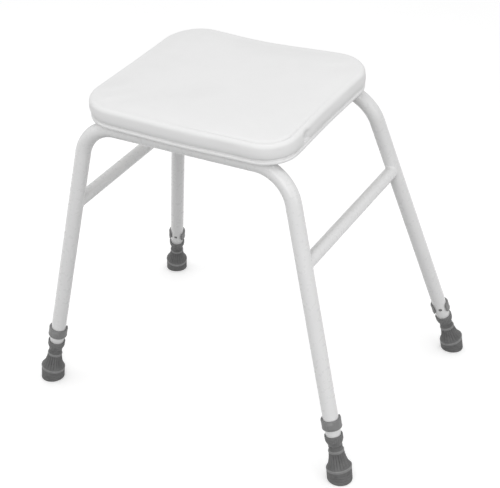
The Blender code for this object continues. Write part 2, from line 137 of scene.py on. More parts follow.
def vinyl():
    mat, tree, s, at = nodes_of("white_vinyl_fine")
    tone = ramp(tree, noise(tree, at, 9, 5, 0.6),
                [(0.25, grey(0.795)), (0.5, grey(0.820)), (0.8, grey(0.835))])
    tree.links.new(tone, s.inputs["Base Color"])
    cells = tree.nodes.new("ShaderNodeTexVoronoi")
    cells.feature = "DISTANCE_TO_EDGE"
    cells.inputs["Scale"].default_value = 760
    warp = tree.nodes.new("ShaderNodeVectorMath")
    warp.operation = "MULTIPLY_ADD"
    wave = tree.nodes.new("ShaderNodeTexNoise")
    wave.inputs["Scale"].default_value = 300
    wave.inputs["Detail"].default_value = 2
    tree.links.new(at, wave.inputs["Vector"])
    tree.links.new(wave.outputs["Color"], warp.inputs[0])
    warp.inputs[1].default_value = (0.0012, 0.0012, 0.0012)
    tree.links.new(at, warp.inputs[2])
    tree.links.new(warp.outputs["Vector"], cells.inputs["Vector"])
    grain = bump(tree, ramp(tree, cells.outputs["Distance"], [(0.0, grey(0.0)), (0.16, grey(1.0))]),
                 0.10, 0.00025)
    slow = bump(tree, noise(tree, at, 60, 3), 0.10, 0.0008, grain)
    tree.links.new(bump(tree, noise(tree, at, 14, 2), 0.10, 0.0020, slow), s.inputs["Normal"])
    tree.links.new(spread(tree, noise(tree, at, 45, 3), 0.40, 0.54), s.inputs["Roughness"])
    s.inputs["Sheen Weight"].default_value = 0.08
    s.inputs["Sheen Roughness"].default_value = 0.5
    s.inputs["Specular IOR Level"].default_value = 0.45
    return mat


def rubber(name, dark, light, rough=(0.52, 0.70), fine=420, strength=0.25):
    mat, tree, s, at = nodes_of(name)
    dust = noise(tree, at, 70, 6, 0.65)
    tree.links.new(ramp(tree, dust, [(0.30, grey(dark)), (0.55, grey((dark + light) / 2)),
                                     (0.80, grey(light))]), s.inputs["Base Color"])
    tree.links.new(spread(tree, noise(tree, at, 160, 3), *rough), s.inputs["Roughness"])
    pores = bump(tree, noise(tree, at, fine * 3, 2), strength, 0.0002)
    tree.links.new(bump(tree, noise(tree, at, fine, 3), strength * 0.6, 0.0004, pores),
                   s.inputs["Normal"])
    return mat


def zinc():
    mat, tree, s, at = nodes_of("zinc_steel_fine")
    s.inputs["Metallic"].default_value = 1.0
    spangle = tree.nodes.new("ShaderNodeTexVoronoi")
    spangle.inputs["Scale"].default_value = 320
    tree.links.new(at, spangle.inputs["Vector"])
    tree.links.new(ramp(tree, spangle.outputs["Color"], [(0.0, grey(0.56)), (1.0, grey(0.70))]),
                   s.inputs["Base Color"])
    tree.links.new(spread(tree, noise(tree, at, 90, 4), 0.24, 0.42), s.inputs["Roughness"])
    tree.links.new(bump(tree, noise(tree, at, 1500, 2), 0.08, 0.0002), s.inputs["Normal"])
    return mat


def plywood():
    mat, tree, s, at = nodes_of("plywood_fine")
    stretch = tree.nodes.new("ShaderNodeMapping")
    stretch.inputs["Scale"].default_value = (14.0, 160.0, 160.0)
    tree.links.new(at, stretch.inputs["Vector"])
    grain = noise(tree, stretch.outputs["Vector"], 1.0, 8, 0.62)
    tree.links.new(ramp(tree, grain, [(0.28, (0.42, 0.36, 0.29)), (0.48, (0.56, 0.50, 0.42)),
                                      (0.72, (0.66, 0.60, 0.52))]), s.inputs["Base Color"])
    tree.links.new(spread(tree, grain, 0.58, 0.78), s.inputs["Roughness"])
    tree.links.new(bump(tree, grain, 0.30, 0.0005), s.inputs["Normal"])
    return mat


def foam():
    mat, tree, s, at = nodes_of("seat_foam_fine")
    cells = tree.nodes.new("ShaderNodeTexVoronoi")
    cells.inputs["Scale"].default_value = 900
    tree.links.new(at, cells.inputs["Vector"])
    tree.links.new(ramp(tree, cells.outputs["Distance"],
                        [(0.0, (0.55, 0.50, 0.33)), (0.6, (0.80, 0.76, 0.55))]),
                   s.inputs["Base Color"])
    s.inputs["Roughness"].default_value = 0.95
    tree.links.new(bump(tree, cells.outputs["Distance"], 0.6, 0.0008), s.inputs["Normal"])
    return mat


def studio_floor():
    mat, tree, s, at = nodes_of("studio_floor")
    tree.links.new(ramp(tree, noise(tree, at, 1.5, 2), [(0.3, grey(0.80)), (0.7, grey(0.82))]),
                   s.inputs["Base Color"])
    s.inputs["Roughness"].default_value = 0.9
    s.inputs["Specular IOR Level"].default_value = 0.2
    s.inputs["Emission Color"].default_value = (1, 1, 1, 1)
    s.inputs["Emission Strength"].default_value = 0.35
    return mat


M_COAT = powder_coat()
M_VINYL = vinyl()
M_RUBBER = rubber("grey_rubber_fine", 0.098, 0.160)
# lighter grey for the ferrules' two raised rings: partly worn rubber, partly a painted highlight of their
# bright edges
M_RIM_PAINTED_HIGHLIGHT = rubber("grey_rubber_rim_painted_highlight", 0.19, 0.27, (0.42, 0.55))
M_COLLAR = rubber("grey_plastic_fine", 0.130, 0.180, (0.40, 0.55), 500, 0.12)
M_CLIP = rubber("clip_grey_fine", 0.185, 0.240, (0.36, 0.50), 500, 0.10)
M_ZINC = zinc()
M_PLY = plywood()
M_FOAM = foam()
M_NYLON = rubber("black_nylon_fine", 0.035, 0.060, (0.38, 0.50), 500, 0.10)

BY_SLOT = {"white_powder_coat": M_COAT, "white_vinyl": M_VINYL, "seat_foam": M_FOAM,
           "plywood": M_PLY, "grey_rubber": M_RUBBER, "grey_plastic": M_COLLAR,
           "clip_grey": M_CLIP, "zinc_steel": M_ZINC, "black_nylon": M_NYLON}
WORDS = [("_frame", M_COAT), ("_brace", M_COAT), ("_seat_tab", M_COAT), ("seat_cover", M_VINYL),
         ("seat_foam", M_FOAM), ("seat_board", M_PLY), ("_ferrule_washer", M_ZINC),
         ("_ferrule", M_RUBBER), ("_end_collar", M_COLLAR), ("_clip", M_CLIP),
         ("_leg_extension", M_ZINC), ("_top_bush", M_NYLON), ("_seat_washer", M_ZINC),
         ("_seat_screw", M_ZINC), ("_tee_nut", M_ZINC)]
for name, obj in NODES.items():
    obj.data.materials.clear()
    obj.data.materials.append(next(m for word, m in WORDS if name.endswith(word)))


# ------------------------------------------------------------- mesh helpers
def as_object(name, bm, mats, sharp=38):
    bmesh.ops.remove_doubles(bm, verts=bm.verts, dist=1e-7)
    bmesh.ops.recalc_face_normals(bm, faces=bm.faces)
    mesh = bpy.data.meshes.new(name)
    bm.to_mesh(mesh)
    bm.free()
    obj = bpy.data.objects.new(name, mesh)
    bpy.context.scene.collection.objects.link(obj)
    for m in mats:
        mesh.materials.append(m)
    mesh.shade_smooth()
    if sharp:
        mesh.set_sharp_from_angle(angle=radians(sharp))
    return obj


def loft_into(bm, rings, wrap=False, caps=(False, False), index=None):
    """Rings of the same number of points, joined in turn by quads."""
    grid = [[bm.verts.new(p) for p in ring] for ring in rings]
    n, m = len(grid), len(grid[0])
    for i in range(n if wrap else n - 1):
        a, b = grid[i], grid[(i + 1) % n]
        for j in range(m):
            k = (j + 1) % m
            face = bm.faces.new((a[j], a[k], b[k], b[j]))
            if index is not None:
                face.material_index = index[i]
    if caps[0]:
        bm.faces.new(list(reversed(grid[0])))
    if caps[1]:
        bm.faces.new(grid[-1])
    return bm


def loft(name, rings, mats, wrap=False, caps=(False, False), index=None, sharp=38):
    return as_object(name, loft_into(bmesh.new(), rings, wrap, caps, index), mats, sharp)


def lathe_rings(profile, segs, matrix, shape=None):
    """profile: (radius, height[, extra]); shape(r, s, angle, extra) may change the radius."""
    rings = []
    for row in profile:
        r, s = row[0], row[1]
        extra = row[2] if len(row) > 2 else 0.0
        ring = []
        for j in range(segs):
            a = 2 * pi * j / segs
            q = shape(r, s, a, extra) if shape else r
            ring.append(matrix @ Vector((q * cos(a), q * sin(a), s)))
        rings.append(ring)
    return rings


def solid_cylinder(name, r, low, high, matrix, segs=48):
    bm = bmesh.new()
    loft_into(bm, lathe_rings([(r, low), (r, high)], segs, matrix), caps=(True, True))
    obj = as_object(name, bm, [], None)
    return obj


def cut(obj, cutters, sharp=38):
    """Exact boolean differences, applied, with the cutters removed."""
    for c in cutters:
        mod = obj.modifiers.new(c.name, "BOOLEAN")
        mod.operation = "DIFFERENCE"
        mod.solver = "EXACT"
        mod.object = c
    return applied(obj, sharp, cutters)


def applied(obj, sharp=38, extra=()):
    bpy.context.view_layer.update()
    deps = bpy.context.evaluated_depsgraph_get()
    mesh = bpy.data.meshes.new_from_object(obj.evaluated_get(deps))
    old = obj.data
    obj.modifiers.clear()
    obj.data = mesh
    bpy.data.meshes.remove(old)
    for c in extra:
        bpy.data.objects.remove(c, do_unlink=True)
    mesh.shade_smooth()
    if sharp:
        mesh.set_sharp_from_angle(angle=radians(sharp))
    return obj


def softened(node, name, width, mats, sharp=30):
    """A fine piece made from a CAD solid with its edges rounded."""
    obj = bpy.data.objects.new(name, NODES[node].data.copy())
    bpy.context.scene.collection.objects.link(obj)
    bm = bmesh.new()
    bm.from_mesh(obj.data)
    bmesh.ops.remove_doubles(bm, verts=bm.verts, dist=1e-6)
    bmesh.ops.dissolve_limit(bm, angle_limit=radians(1), verts=bm.verts, edges=bm.edges)
    bm.to_mesh(obj.data)
    bm.free()
    obj.data.materials.clear()
    for m in mats:
        obj.data.materials.append(m)
    mod = obj.modifiers.new("soft edges", "BEVEL")
    mod.width = width
    mod.segments = 2
    mod.limit_method = "ANGLE"
    mod.angle_limit = radians(40)
    applied(obj, sharp)
    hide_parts(node)
    return obj


def own(obj, body, slot, *nodes):
    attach(obj, body)
    if nodes:
        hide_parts(*nodes)
    return obj


def smoothstep(a, b, x):
    t = min(1.0, max(0.0, (x - a) / (b - a)))
    return t * t * (3 - 2 * t)


# ------------------------------------------------------------ frame geometry
def leg_line(f, side):
    foot = Vector((side * f["foot_x"], f["foot_y"], 0.0))
    corner = Vector((side * f["half"], f["y"], f["z"]))
    return foot, corner, (corner - foot).normalized()


def leg_matrix(f, side):
    foot, _, up = leg_line(f, side)
    turn = radians(PEG_TURN)
    out = Vector((sin(turn), -cos(turn), 0)) * (1 if f is FRONT else -1)
    out = (out - up * out.dot(up)).normalized()
    y = -out
    x = y.cross(up)
    m = Matrix((x, y, up)).transposed().to_4x4()
    m.translation = foot
    return m


def bend_points(f, side, n=26):
    foot, corner, up = leg_line(f, side)
    inward = Vector((-side, 0.0, 0.0))
    down = -up
    angle = acos(down.dot(inward))
    t = f["bend"] / tan(angle / 2)
    start, end = corner + down * t, corner + inward * t
    centre = corner + (down + inward).normalized() * (f["bend"] / sin(angle / 2))
    a, b = start - centre, end - centre
    sweep = acos(max(-1.0, min(1.0, a.dot(b) / f["bend"] ** 2)))
    return [centre + (a * sin(sweep * (1 - i / n)) + b * sin(sweep * i / n)) / sin(sweep)
            for i in range(n + 1)]


def leg_stations(f, side):
    """Points up the straight leg, closer together round the peg hole."""
    foot, _, up = leg_line(f, side)
    top = (bend_points(f, side)[0] - foot).length
    marks = [TUBE_END, TUBE_END + 0.0006, PEG - 0.009, PEG - 0.005, PEG, PEG + 0.005, PEG + 0.009]
    while marks[-1] + 0.045 < top:
        marks.append(marks[-1] + 0.040)
    return [foot + up * s for s in marks]


def frame_path(f):
    left = leg_stations(f, -1) + bend_points(f, -1)
    right = leg_stations(f, 1) + bend_points(f, 1)
    a, b = left[-1], right[-1]
    across = [a.lerp(b, k / 8) for k in range(1, 8)]
    return left + across + right[::-1]


def swept(path, radius, normal, segs):
    """Rings across a path that lies in a plane with this normal."""
    rings = []
    for i, p in enumerate(path):
        a, b = path[max(0, i - 1)], path[min(len(path) - 1, i + 1)]
        t = (b - a).normalized()
        side = normal.cross(t).normalized()
        rings.append([p + (normal * cos(2 * pi * j / segs) + side * sin(2 * pi * j / segs)) * radius
                      for j in range(segs)])
    return rings


for label, f in (("front", FRONT), ("rear", REAR)):
    path = frame_path(f)
    foot, corner, _ = leg_line(f, 1)
    rise = Vector((0, corner.y - foot.y, corner.z - foot.z)).normalized()
    normal = Vector((1, 0, 0)).cross(rise).normalized()
    outer = swept(path, TUBE_R, normal, 56)
    outer[0] = swept(path[:2], TUBE_R - 0.0004, normal, 56)[0]
    outer[-1] = swept(path[-2:], TUBE_R - 0.0004, normal, 56)[-1]
    inner = swept(path, TUBE_R - TUBE_WALL, normal, 56)
    tube = loft(label + "_frame_tube", outer + inner[::-1], [M_COAT], wrap=True)
    holes = []
    for leg, ff, side in LEGS:
        if ff is f:
            m = leg_matrix(f, side) @ Matrix.Translation((0, 0, PEG)) \
                @ Matrix.Rotation(pi / 2, 4, "X")
            holes.append(solid_cylinder(leg + "_hole", PEG_HOLE_R, -0.02, 0.02, m, 32))
    cut(tube, holes)
    own(tube, "frame", "white_powder_coat", label + "_frame")


def brace_axis(side):
    ends = []
    for f in (FRONT, REAR):
        foot, corner, up = leg_line(f, side)
        ends.append((foot + up * (f["brace_z"] / up.z), up))
    return ends


def meets(start, along, up, offset, radius):
    """How far along a generatrix of the brace it meets the leg's surface."""
    d = along - up * along.dot(up)
    w = offset - up * offset.dot(up)
    a, b, c = d.dot(d), 2 * d.dot(w), w.dot(w) - radius ** 2
    return (-b + sqrt(max(0.0, b * b - 4 * a * c))) / (2 * a)


def brace_frame(along):
    e1 = along.cross(Vector((0, 0, 1))).normalized()
    return e1, along.cross(e1).normalized()


for label, side in (("left", -1), ("right", 1)):
    (p, up_p), (q, up_q) = brace_axis(side)
    length = (q - p).length
    along = (q - p).normalized()
    e1, e2 = brace_frame(along)
    segs = 48

    def wall(radius, k, gap):
        ring = []
        for j in range(segs):
            a = 2 * pi * j / segs
            o = (e1 * cos(a) + e2 * sin(a)) * radius
            t0 = meets(p, along, up_p, o, TUBE_R + gap)
            t1 = length - meets(q, -along, up_q, o, TUBE_R + gap)
            ring.append(p + o + along * (t0 + (t1 - t0) * k))
        return ring

    steps = [0, 0.012, 0.03, 0.06, 0.12, 0.2, 0.3, 0.4, 0.5, 0.6, 0.7, 0.8, 0.88, 0.94, 0.97,
             0.988, 1]
    rings = [wall(BRACE_R, k, 0.0001) for k in steps] \
        + [wall(BRACE_R - BRACE_WALL, k, 0.0001) for k in steps[::-1]]
    own(loft(label + "_brace_tube", rings, [M_COAT], wrap=True), "frame",
        "white_powder_coat", label + "_brace")

    # the weld: a small concave bead, slightly rippled, round each end
    for end, (c, up, way) in (("front", (p, up_p, along)), ("rear", (q, up_q, -along))):
        segs_w = 96
        beads = []
        for j in range(segs_w):
            a = 2 * pi * j / segs_w
            radial = e1 * cos(a) + e2 * sin(a)
            o = radial * BRACE_R
            t = meets(c, way, up, o, TUBE_R)
            joint = c + o + way * t
            h = 0.0034 + 0.00022 * sin(29 * a) + 0.00025 * sin(3 * a + side)
            on_brace = joint + way * h
            spot = joint + radial * h
            foot = spot - c
            axial = up * foot.dot(up)
            on_leg = c + axial + (foot - axial).normalized() * TUBE_R
            mid = joint * 0.72 + (on_brace + on_leg) * 0.14
            inside = joint - radial * 0.0008 - way * 0.0008
            row = []
            for k in range(7):
                u = k / 6
                row.append(on_brace * (1 - u) ** 2 + mid * 2 * u * (1 - u) + on_leg * u ** 2)
            row[0] = row[0] - radial * 0.00012
            row[-1] = row[-1] - (foot - axial).normalized() * 0.00012
            row.append(inside)
            beads.append(row)
        weld = loft(f"{label}_{end}_weld", beads, [M_COAT], wrap=True, sharp=60)
        own(weld, "frame", "white_powder_coat")

# ------------------------------------------------------- legs, clips and feet
RIBS = 26


def collar_shape(r, s, a, w):
    if not w:
        return r
    ridge = abs(sin(a * RIBS / 2)) ** 0.7
    return r - 0.00080 * w * (1 - ridge)


COLLAR = [(0.009825, COLLAR_LOW), (0.009825, SLEEVE_TOP - 0.0006), (0.0100, SLEEVE_TOP),
          (0.0107, SLEEVE_TOP), (0.0108, SLEEVE_TOP - 0.0004), (0.0108, 0.0770),
          (0.0130, 0.0770), (0.0130, COLLAR_TOP - 0.0003), (0.0133, COLLAR_TOP),
          (0.0142, COLLAR_TOP), (0.0147, COLLAR_TOP - 0.0003), (0.01495, COLLAR_TOP - 0.0009),
          (0.0150, COLLAR_TOP - 0.0016, 0.15), (0.0150, COLLAR_TOP - 0.0026, 1.0),
          (0.0150, 0.0795, 1.0), (0.01495, 0.0770, 1.0), (0.0147, 0.0750, 1.0),
          (0.0141, 0.0730, 1.0), (0.0133, 0.0712, 0.95), (0.0125, 0.0695, 0.8),
          (0.0119, 0.0680, 0.6), (0.0115, 0.0667, 0.3), (0.0113, 0.0656, 0.0),
          (0.0110, COLLAR_LOW)]

FLUTES = 20


def ferrule_rings(m, segs=160):
    up_here = m.to_3x3().transposed() @ Vector((0, 0, 1))
    ux, uy, uz = up_here
    kx, ky = ux / uz, uy / uz
    q = ux * kx + uy * ky

    def flex(x, y, s):
        drop = max(0.0, FLEX_FROM - s)
        return Vector((x - FLEX * drop * kx, y - FLEX * drop * ky, s))

    def floor_at(x, y):
        return -(ux * x + uy * y - FLEX * FLEX_FROM * q) / (FLEX * q + uz)

    inside = [(0.0, 0.0120), (0.0050, 0.0120), (0.0093, 0.0120), (0.009825, 0.0124),
              (0.009825, 0.0300), (0.009825, 0.0480), (0.009825, FERRULE_TOP - 0.0005)]
    lip = [(0.0101, FERRULE_TOP), (0.0109, FERRULE_TOP), (0.0114, FERRULE_TOP - 0.0004),
           (0.0116, FERRULE_TOP - 0.0012), (0.0114, FERRULE_TOP - 0.0020),
           (0.0113, 0.0605), (0.0113, 0.0585), (0.0115, 0.0577)]
    ring_a = [(0.0120, 0.0573), (0.0127, 0.0567), (0.0130, 0.0559), (0.01305, 0.0550),
              (0.0130, 0.0541), (0.0127, 0.0534)]
    bell = [(0.0126, 0.0527, 0.2), (0.01275, 0.0515, 0.8), (0.0130, 0.0495, 1.0),
            (0.0133, 0.0470, 1.0), (0.0138, 0.0440, 1.0), (0.0144, 0.0410, 1.0),
            (0.0151, 0.0380, 1.0), (0.0160, 0.0350, 1.0), (0.0170, 0.0320, 1.0),
            (0.0180, 0.0295, 1.0), (0.0189, 0.0277, 0.8), (0.0196, 0.0266, 0.3)]
    ring_b = [(0.0202, 0.0262), (0.0208, 0.0258), (0.0212, 0.0252), (0.02135, 0.0245),
              (0.0212, 0.0238), (0.0208, 0.0233)]
    rows, index = [], []

    def add(profile, mat):
        for row in profile:
            r, s = row[0], row[1]
            w = row[2] if len(row) > 2 else 0.0
            ring = []
            for j in range(segs):
                a = 2 * pi * j / segs
                line = abs(sin(a * FLUTES / 2))
                v = r - w * (0.00125 * exp(-(line / 0.34) ** 2))
                ring.append(m @ flex(v * cos(a), v * sin(a), s))
            rows.append(ring)
            index.append(mat)

    add(inside, 0)
    add(lip, 0)
    # the two raised rings take material 1, a lighter grey: partly wear, partly a painted highlight
    add(ring_a, 1)
    add(bell, 0)
    add(ring_b, 1)
    # the tread: rows share out the height from the rim down to the floor
    grooves = [0.30, 0.50, 0.70]
    shares = sorted(set([0.06, 0.12, 0.20, 0.86, 0.90]
                        + [round(g + d, 3) for g in grooves for d in (-0.05, -0.025, 0, 0.025, 0.05)]))
    top_s = 0.0229

    def tread(r, share, lift=0.0):
        ring = []
        for j in range(segs):
            a = 2 * pi * j / segs
            x, y = r * cos(a), r * sin(a)
            s = top_s + (floor_at(x, y) - top_s) * share + lift
            ring.append(m @ flex(x, y, s))
        rows.append(ring)
        index.append(0)

    for t in shares:
        dip = max(exp(-((t - g) / 0.018) ** 2) for g in grooves)
        tread(0.0208 - 0.0011 * dip, t)
    for r, share in ((0.0207, 0.93), (0.0204, 0.965), (0.0199, 0.99), (0.0194, 1.0)):
        tread(r, share)
    for r, lift in ((0.0186, 0.0), (0.0183, 0.0011), (0.0158, 0.0011), (0.0155, 0.0),
                    (0.0126, 0.0), (0.0123, 0.0011), (0.0098, 0.0011), (0.0095, 0.0),
                    (0.0066, 0.0), (0.0063, 0.0011), (0.0030, 0.0011), (0.0, 0.0011)):
        tread(r, 1.0, lift)
    return rows, index


def clip_rings():
    """Rounded strip bent round the tube, from one arm's end to the other's."""
    inner, outer, high = TUBE_R + 0.0003, TUBE_R + 0.0035, 0.0087
    half = radians(137.0)
    mid = (inner + outer) / 2
    corner, c = 0.0046, 0.0010
    ends = [0.0, 0.0003, 0.0008, 0.0014, 0.0021, 0.0029, 0.0038, 0.0048]
    reach = half * mid
    marks = [-reach + e for e in ends]
    n = 84
    marks += [-reach + 0.0048 + (2 * reach - 0.0096) * i / n for i in range(1, n)]
    marks += [reach - e for e in ends[::-1]]
    rings = []
    for u in marks:
        e = reach - abs(u)
        zmax = high
        if e < corner:
            zmax = high - corner + sqrt(max(0.0, corner ** 2 - (corner - e) ** 2))
        thin = 0.0011 * (1 - min(1.0, e / 0.0014)) ** 2
        flare = 0.0009 * smoothstep(0.0070, 0.0, e) if e < 0.0070 else 0.0
        lo, hi = inner + thin + flare, outer - thin + flare
        cc = min(c, (hi - lo) * 0.42)
        pts = []
        for cx, cz, a0 in ((hi - cc, zmax - cc, 0), (lo + cc, zmax - cc, 90),
                           (lo + cc, -zmax + cc, 180), (hi - cc, -zmax + cc, 270)):
            for k in range(4):
                a = radians(a0 + 30 * k)
                pts.append((cx + cc * cos(a), cz + cc * sin(a)))
            if a0 == 90:
                pts += [(lo, z * (zmax - cc)) for z in (0.6, 0.2, -0.2, -0.6)]
        pts += [(hi, z * (zmax - cc)) for z in np.linspace(-0.88, 0.88, 12)]
        phi = u / mid
        ring = []
        for r, z in pts:
            if r > hi - cc * 0.6:
                # thumb pad on the closed side, and a fine bead along both edges
                pad = smoothstep(0.0058, 0.0040, abs(u)) * smoothstep(0.0062, 0.0044, abs(z))
                r += 0.0017 * pad
                r += 0.00035 * exp(-((abs(z) - (zmax - 0.0022)) / 0.0008) ** 2) * smoothstep(0.004, 0.009, e)
            ring.append(Vector((r * sin(phi), -r * cos(phi), z)))
        rings.append(ring)
    return rings


for leg, f, side in LEGS:
    m = leg_matrix(f, side)
    body = leg + "_leg"

    # leg extension: fine tube with seven pairs of peg holes
    marks = [EXT_LOW, EXT_LOW + 0.0005]
    for k in range(SETTINGS):
        marks += [PEG + STEP * k - 0.005, PEG + STEP * k, PEG + STEP * k + 0.005]
    marks += [EXT_TOP - 0.0005, EXT_TOP]
    profile = [(INNER_R - (0.0004 if s in (EXT_LOW, EXT_TOP) else 0.0), s) for s in marks] \
        + [(INNER_R - INNER_WALL, s) for s in marks[::-1]]
    tube = loft(leg + "_inner_tube", lathe_rings(profile, 44, m), [M_ZINC], wrap=True)
    cut(tube, [solid_cylinder(f"{leg}_setting_{k}", PEG_HOLE_R, -0.014, 0.014,
                              m @ Matrix.Translation((0, 0, PEG + STEP * k))
                              @ Matrix.Rotation(pi / 2, 4, "X"), 28)
               for k in range(SETTINGS)])
    own(tube, body, "zinc_steel", leg + "_leg_extension")

    ring = loft(leg + "_collar", lathe_rings(COLLAR, 208, m, collar_shape), [M_COLLAR], wrap=True)
    own(ring, "frame", "grey_plastic", leg + "_end_collar")

    rows, index = ferrule_rings(m)
    foot = loft(leg + "_rubber_foot", rows, [M_RUBBER, M_RIM_PAINTED_HIGHLIGHT], index=index, sharp=48)
    own(foot, body, "grey_rubber", leg + "_ferrule")

    at = m @ Matrix.Translation((0, 0, PEG))
    strip = loft(leg + "_spring_clip", [[at @ p for p in r] for r in clip_rings()], [M_CLIP],
                 caps=(True, True), sharp=50)
    own(strip, leg + "_clip_body", "clip_grey", leg + "_clip")
    peg = loft(leg + "_clip_peg",
               lathe_rings([(0.0, -PEG_TIP), (0.0020, -PEG_TIP + 0.0001),
                            (0.0026, -PEG_TIP + 0.0004), (PEG_R, -PEG_TIP + 0.0011),
                            (PEG_R, -0.006), (PEG_R, 0.0), (PEG_R, 0.006),
                            (PEG_R, TUBE_R + 0.0002), (0.0036, TUBE_R + 0.0008),
                            (0.0, TUBE_R + 0.0008)], 32,
                           at @ Matrix.Rotation(pi / 2, 4, "X")), [M_CLIP])
    own(peg, leg + "_clip_body", "clip_grey")

# --------------------------------------------------------------------- seat
def seat_matrix():
    y = Vector((0, 1, SLOPE)).normalized()
    x = Vector((1, 0, 0))
    m = Matrix((x, y, x.cross(y))).transposed().to_4x4()
    m.translation = Vector((0, FRONT["y"], FRONT["z"]))
    return m


SEAT = seat_matrix()
COLUMNS = 480
HALF, LOW_Y, HIGH_Y = 0.1864, -0.0231, 0.3064
MID_Y = (LOW_Y + HIGH_Y) / 2


def outline(inset=0.0):
    """Evenly spaced points round the seat and their outward normals."""
    corners = [(1, 1, 0.067), (-1, 1, 0.068), (-1, -1, 0.066), (1, -1, 0.051)]
    dense = []
    for i, (sx, sy, r) in enumerate(corners):
        cx = sx * (HALF - r)
        cy = (HIGH_Y - r) if sy > 0 else (LOW_Y + r)
        for k in range(41):
            a = radians(90 * i + 90 * k / 40)
            dense.append((cx + r * cos(a), cy + r * sin(a)))
    pts = []
    for p, q in zip(dense, dense[1:] + dense[:1]):
        d = hypot(q[0] - p[0], q[1] - p[1])
        n = max(1, int(d / 0.002))
        pts += [(p[0] + (q[0] - p[0]) * k / n, p[1] + (q[1] - p[1]) * k / n) for k in range(n)]
    reach = (HIGH_Y - LOW_Y) / 2
    moved = []
    for x, y in pts:
        u, v = x / HALF, (y - MID_Y) / reach
        across = cos(min(1.0, abs(u) / 0.85) * pi / 2) ** 2
        lop = cos(min(1.0, abs(u + 0.10) / 0.85) * pi / 2) ** 2
        along_y = cos(min(1.0, abs(v) / 0.85) * pi / 2) ** 2
        if v < 0:
            y -= 0.0030 * across * min(1.0, max(0.0, (-v - 0.6) / 0.4))
        else:
            y -= 0.0100 * lop * min(1.0, max(0.0, (v - 0.6) / 0.4))
        dip = 0.0022 if x > 0 else 0.0011
        x -= (1 if x > 0 else -1) * dip * along_y * min(1.0, max(0.0, (abs(u) - 0.6) / 0.4))
        moved.append((x, y))
    P = np.array(moved)
    yaw = radians(-0.48)
    c = np.array([0.0, MID_Y])
    R = np.array([[cos(yaw), -sin(yaw)], [sin(yaw), cos(yaw)]])
    P = (P - c) @ R.T + c + np.array([-0.0006, 0.0])
    seg = np.roll(P, -1, 0) - P
    s = np.concatenate([[0], np.cumsum(np.hypot(seg[:, 0], seg[:, 1]))])
    want = np.arange(COLUMNS) * s[-1] / COLUMNS
    closed = np.vstack([P, P[:1]])
    Q = np.stack([np.interp(want, s, closed[:, 0]), np.interp(want, s, closed[:, 1])], 1)
    for _ in range(3):
        Q = 0.25 * np.roll(Q, 1, 0) + 0.5 * Q + 0.25 * np.roll(Q, -1, 0)
    t = np.roll(Q, -1, 0) - np.roll(Q, 1, 0)
    n = np.stack([t[:, 1], -t[:, 0]], 1)
    n /= np.linalg.norm(n, axis=1)[:, None]
    for _ in range(6):
        n = 0.25 * np.roll(n, 1, 0) + 0.5 * n + 0.25 * np.roll(n, -1, 0)
        n /= np.linalg.norm(n, axis=1)[:, None]
    return Q - n * inset, n, want, s[-1]


EDGE, NORMAL, ALONG, ROUND = outline()
RIM = 0.0459                     # height of the top rim above the tubes' centres


def simulated_pad():
    """A slightly small pad, blown up by cloth pressure: its crown and bulge."""
    inset, low, high = 0.0035, 0.0205, RIM - 0.0045
    ring, _, _, _ = outline(inset)
    step = 8
    pts = [Vector((x, y, 0)) for x, y in ring[::step]]
    bm = bmesh.new()
    loft_into(bm, [[p + Vector((0, 0, low)) for p in pts], [p + Vector((0, 0, high)) for p in pts]],
              caps=(True, True))
    pad = as_object("pad_start", bm, [], None)
    mod = pad.modifiers.new("remesh", "REMESH")
    mod.mode = "VOXEL"
    mod.voxel_size = 0.006
    applied(pad, None)
    group = pad.vertex_groups.new(name="held")
    group.add([v.index for v in pad.data.vertices if v.co.z < low + 0.004], 1.0, "REPLACE")
    start = np.array([v.co for v in pad.data.vertices])
    cloth = pad.modifiers.new("cloth", "CLOTH")
    st = cloth.settings
    st.quality = 6
    st.mass = 0.4
    st.tension_stiffness = 30
    st.compression_stiffness = 30
    st.shear_stiffness = 12
    st.bending_stiffness = 2
    st.use_pressure = True
    st.uniform_pressure_force = 4
    st.effector_weights.gravity = 0
    st.vertex_group_mass = "held"
    scene = bpy.context.scene
    scene.frame_start, scene.frame_end = 1, 20
    cloth.point_cache.frame_start, cloth.point_cache.frame_end = 1, 20
    for i in range(1, 21):
        scene.frame_set(i)
    deps = bpy.context.evaluated_depsgraph_get()
    mesh = bpy.data.meshes.new_from_object(pad.evaluated_get(deps))
    now = np.array([v.co for v in mesh.vertices])
    scene.frame_set(1)
    move = now - start
    far = np.linalg.norm(move, axis=1)
    cap = 0.012
    keep = np.minimum(1.0, cap / np.maximum(far, 1e-9))
    now = start + move * keep[:, None]
    tree = BVHTree.FromPolygons([Vector(p) for p in now],
                                [list(p.vertices) for p in mesh.polygons])
    bpy.data.objects.remove(pad, do_unlink=True)
    return tree, high


def crown_of(tree, base, points):
    out = []
    for x, y in points:
        hit = tree.ray_cast(Vector((x, y, 0.2)), Vector((0, 0, -1)))
        out.append((hit[0].z - base) if hit[0] is not None else 0.0)
    return np.array(out)


def fall(s, at, width):
    """Bell curve along the edge, at this place along it."""
    d = (ALONG - at + ROUND / 2) % ROUND - ROUND / 2
    return np.exp(-(d / width) ** 2)


def nearest_along(x, y):
    return ALONG[np.argmin(np.hypot(EDGE[:, 0] - x, EDGE[:, 1] - y))]


